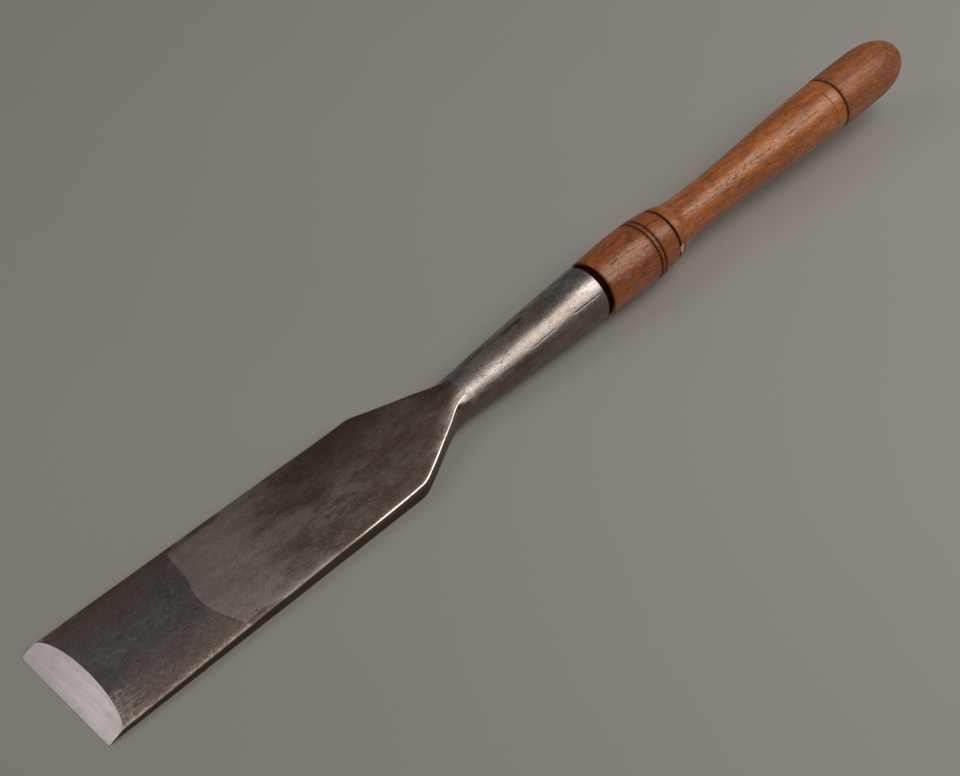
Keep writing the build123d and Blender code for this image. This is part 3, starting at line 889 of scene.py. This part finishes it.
def make_blade_iron():
    """The body's face: lighter behind the weld, darker and browner towards the neck, with near-white arrises
    that are partly rubbed bright and partly a painted highlight.
    """
    paint = Paint("blade_iron")
    colour, pits, grains = iron_layers(paint, IRON_DARK, IRON_LIGHT, IRON_BROWN, 0.8)
    along = paint.value("along")
    width = paint.math("ABSOLUTE", paint.value("across"))
    shade = paint.noise(paint.place((0.5, 1.3, 1.3)), scale=17, detail=6, rough=0.65, twist=0.5)
    shade = paint.times(paint.step(shade, 0.44, 0.58, 0, 0.6), paint.step(along, 125, 205, 0.12, 1))
    colour = paint.mix(shade, colour, IRON_SHADE)
    drift = paint.noise(paint.place((0.5, 1.4, 1.4)), scale=40, detail=6, rough=0.7)
    fresh = paint.plus(along, paint.step(drift, 0.3, 0.7, -40, 40))
    colour = paint.mix(paint.step(fresh, 120, 215, 0.5, 0), colour, IRON_FRESH)
    colour = neck_tint(paint, colour)
    lens = paint.noise(paint.place((0.45, 1.4, 1.4)), scale=46, detail=5, rough=0.6)
    lens = paint.times(paint.step(lens, 0.5, 0.6), paint.step(width, 0.8, 0.93))
    colour = paint.mix(paint.times(lens, 0.75), colour, IRON_MARGIN)
    # The arrises from mid-blade to the neck are painted near white: rubbed bright iron in part, and in part a
    # painted highlight where the arris catches the light.
    worn = paint.times(paint.step(width, 0.962, 0.985), paint.step(along, 185, 235))
    worn = paint.times(worn, paint.step(paint.value("up"), 0.5, 0.9))
    colour = paint.mix(paint.times(worn, 0.9), colour, WORN_ARRIS_AND_HIGHLIGHT)
    wall = paint.step(width, 0.9985, 0.9999)
    near_neck = paint.step(along, BLADE_LENGTH, 322)
    wall_colour = paint.mix(near_neck, WALL_BROWN, WALL_AT_NECK)
    colour = paint.mix(paint.times(wall, 0.85), colour, wall_colour)
    lines = scratches(paint, 24, 2300)
    rough = paint.step(grains, 0.3, 0.7, 0.38, 0.53)
    rough = paint.minus(rough, paint.times(worn, 0.2))
    dull = paint.times(wall, paint.step(along, BLADE_LENGTH, 322, 0.15, 0))
    rough = paint.minus(paint.plus(rough, dull), paint.step(along, 290, 330, 0, 0.12))
    return iron_finish(paint, colour, pits, grains, rough, lines)


def make_socket_iron():
    """The socket: pitted, lighter along its top where it is rubbed and where a painted highlight lies, and
    darker and browner down its right-hand side and underside with rust and painted shade.
    """
    paint = Paint("socket_iron")
    # Fewer brown patches along the top, a little to the right: partly rubbed iron, partly a painted highlight
    # where the light is reflected.
    side = paint.step(paint.value("top"), 0.55, 0.95, 1, 0.3)
    colour, pits, grains = iron_layers(paint, SOCKET_DARK, SOCKET_LIGHT, SOCKET_BROWN, side)
    colour = neck_tint(paint, colour)
    # Rust mixed with painted shade: the right-hand side and the underside are darkened, broken up by a rust
    # pattern.
    rust = paint.noise(paint.place((0.6, 1.2, 1.2)), scale=70, detail=7, rough=0.7)
    low = paint.plus(paint.value("low"), paint.step(rust, 0.3, 0.7, -0.35, 0.35))
    colour = paint.mix(paint.step(low, 0.15, 0.9, 0, 0.75), colour, SOCKET_RUST_AND_SHADE)
    seam = paint.value("seam")
    colour = paint.mix(paint.step(seam, 0.1, 0.5), colour, OPEN_SEAM)
    colour = paint.mix(paint.value("inner"), colour, SOCKET_INSIDE)
    rough = paint.step(grains, 0.3, 0.7, 0.24, 0.38)
    return iron_finish(paint, colour, pits, grains, rough, None, 0.00017)


def make_handle_wood():
    """Red-brown hardwood: lengthwise figure, dark open pores, waxed and handled."""
    paint = Paint("handle_wood")
    turn = atan2(AXIS.z, AXIS.x)
    along = paint.value("along")
    figure = paint.noise(paint.place((5, 46, 46), turn), scale=1.0, detail=6, rough=0.65, twist=1.0)
    streak = paint.noise(paint.place((11, 330, 330), turn), scale=1.0, detail=5, rough=0.7, twist=0.2)
    colour = paint.mix(paint.step(figure, 0.32, 0.68), WOOD_DARK, WOOD_LIGHT)
    colour = paint.mix(paint.step(streak, 0.42, 0.66, 0, 0.6), colour, WOOD_STREAK)
    collar = paint.step(along, 78.5, 79.5, 1, 0)
    colour = paint.mix(paint.times(collar, 0.55), colour, COLLAR_RED)
    butt = paint.step(along, 282, 284)
    colour = paint.mix(paint.times(butt, 0.5), colour, BUTT_BROWN)
    mottle = paint.noise(paint.place((70, 160, 160), turn), scale=1.0, detail=6, rough=0.72)
    amount = paint.math("MULTIPLY_ADD", collar, 0.35, 0.42)
    colour = paint.mix(paint.times(paint.step(mottle, 0.47, 0.66), amount), colour, WOOD_MOTTLE)
    fleck = paint.noise(paint.place((210, 640, 640), turn), scale=1.0, detail=5, rough=0.75)
    colour = paint.mix(paint.step(fleck, 0.36, 0.47, 0.55, 0), colour, FLECK_DARK)
    colour = paint.mix(paint.step(fleck, 0.54, 0.66, 0, 0.45), colour, FLECK_LIGHT)
    pores = paint.noise(paint.place((150, 2300, 2300), turn), scale=1.0, detail=3, rough=0.6)
    pore_zones = paint.noise(paint.place((12, 80, 80), turn), scale=1.0, detail=4, rough=0.6)
    pores = paint.times(paint.step(pores, 0.56, 0.66), paint.step(pore_zones, 0.36, 0.6, 0.3, 1))
    colour = paint.mix(paint.times(pores, 0.62), colour, PORE)
    stain = paint.times(paint.value("stain"), paint.step(fleck, 0.4, 0.55, 0.4, 1))
    colour = paint.mix(paint.times(stain, 0.75), colour, STAIN)
    # Grime and painted shade: the grooves, the tenon and the shoulder gap are painted almost black and lose
    # their gloss.
    dirt_and_shade = paint.value("dirt_and_shade")
    colour = paint.mix(paint.times(dirt_and_shade, 0.96), colour, GRIME_AND_PAINTED_SHADE)
    colour = paint.mix(paint.value("check"), colour, OPEN_CHECK)
    colour = paint.mix(paint.step(paint.value("chip"), 0.25, 0.8), colour, BARE_WOOD)
    rough = paint.plus(paint.step(streak, 0.3, 0.7, 0.24, 0.34), paint.times(pores, 0.3))
    rough = paint.plus(rough, paint.times(dirt_and_shade, 0.45))
    rough = paint.plus(rough, paint.times(butt, 0.14))
    height = paint.minus(paint.times(streak, 0.4), paint.times(pores, 0.6))
    return paint.finish(Base_Color=colour, Roughness=rough, Normal=paint.bump(height, 0.00013),
                        Specular_IOR_Level=paint.minus(1.0, dirt_and_shade), Specular_Tint=GLOSS_TINT)


def make_floor_paint():
    """Pale grey, a little uneven."""
    paint = Paint("studio_floor")
    tone = paint.noise(paint.place((1, 1, 1)), scale=2.2, detail=3, rough=0.5)
    speck = paint.noise(paint.place((1, 1, 1)), scale=900, detail=3, rough=0.6)
    colour = paint.mix(paint.step(tone, 0.3, 0.7), FLOOR_DARK, FLOOR_LIGHT)
    colour = paint.mix(paint.step(speck, 0.4, 0.7, 0, 0.12), colour, FLOOR_SPECK)
    return paint.finish(Base_Color=colour, Roughness=0.62, Normal=paint.bump(speck, 0.0001))


# ======== Stage ========

def make_floor():
    """A plain floor, big enough for every view."""
    edit = bmesh.new()
    bmesh.ops.create_grid(edit, x_segments=FLOOR_CELLS, y_segments=FLOOR_CELLS, size=FLOOR_HALF_SIZE)
    mesh = bpy.data.meshes.new("floor")
    edit.to_mesh(mesh)
    edit.free()
    mesh.materials.append(make_floor_paint())
    floor = bpy.data.objects.new("floor", mesh)
    floor.location.z = -FLOOR_DROP
    bpy.context.scene.collection.objects.link(floor)


def softbox(name, centre, aim, width, height, radiance, tint):
    """An area light of even radiance that faces aim."""
    light = bpy.data.lights.new(name, "AREA")
    light.shape = "RECTANGLE"
    light.size = width
    light.size_y = height
    light.energy = radiance * pi * width * height
    light.color = tint
    lamp = bpy.data.objects.new(name, light)
    lamp.location = centre
    lamp.rotation_euler = (Vector(aim) - Vector(centre)).to_track_quat("-Z", "Y").to_euler()
    bpy.context.scene.collection.objects.link(lamp)


def make_lights():
    """Two softboxes and a faint even surround."""
    for box in SOFTBOXES:
        softbox(*box)
    world = bpy.data.worlds.new("studio")
    world.use_nodes = True
    surround = world.node_tree.nodes["Background"].inputs
    surround["Color"].default_value = WORLD_COLOUR
    surround["Strength"].default_value = WORLD_STRENGTH
    bpy.context.scene.world = world


def make_camera():
    """Looks down on the tool from its right-hand side, past the cutting edge."""
    camera = bpy.data.cameras.new("camera")
    camera.lens = LENS
    camera.sensor_width = SENSOR_WIDTH
    camera.clip_end = VIEW_REACH
    holder = bpy.data.objects.new("camera", camera)
    back = Vector((sin(VIEW_AZIMUTH) * cos(VIEW_ELEVATION), -cos(VIEW_AZIMUTH) * cos(VIEW_ELEVATION),
                   sin(VIEW_ELEVATION)))
    holder.location = VIEW_TARGET + back * VIEW_DISTANCE
    holder.rotation_euler = back.to_track_quat("Z", "Y").to_euler()
    bpy.context.scene.collection.objects.link(holder)
    bpy.context.scene.camera = holder


make_camera()
make_lights()
make_floor()
bit_steel = make_bit_steel()
blade_iron = make_blade_iron()
blade_piece("forged_bit", "steel_bit", lambda y, z: z / tan(BEVEL_ANGLE), weld_place,
            BIT_STEPS, 1, (bit_steel, make_bevel_steel()))
blade_piece("forged_blade", "blade_body", weld_place, lambda y, z: NECK_X,
            BLADE_STEPS, 0, (blade_iron,))
make_socket((make_socket_iron(),))
make_handle((make_handle_wood(),))

bpy.context.scene.view_settings.view_transform = "Standard"
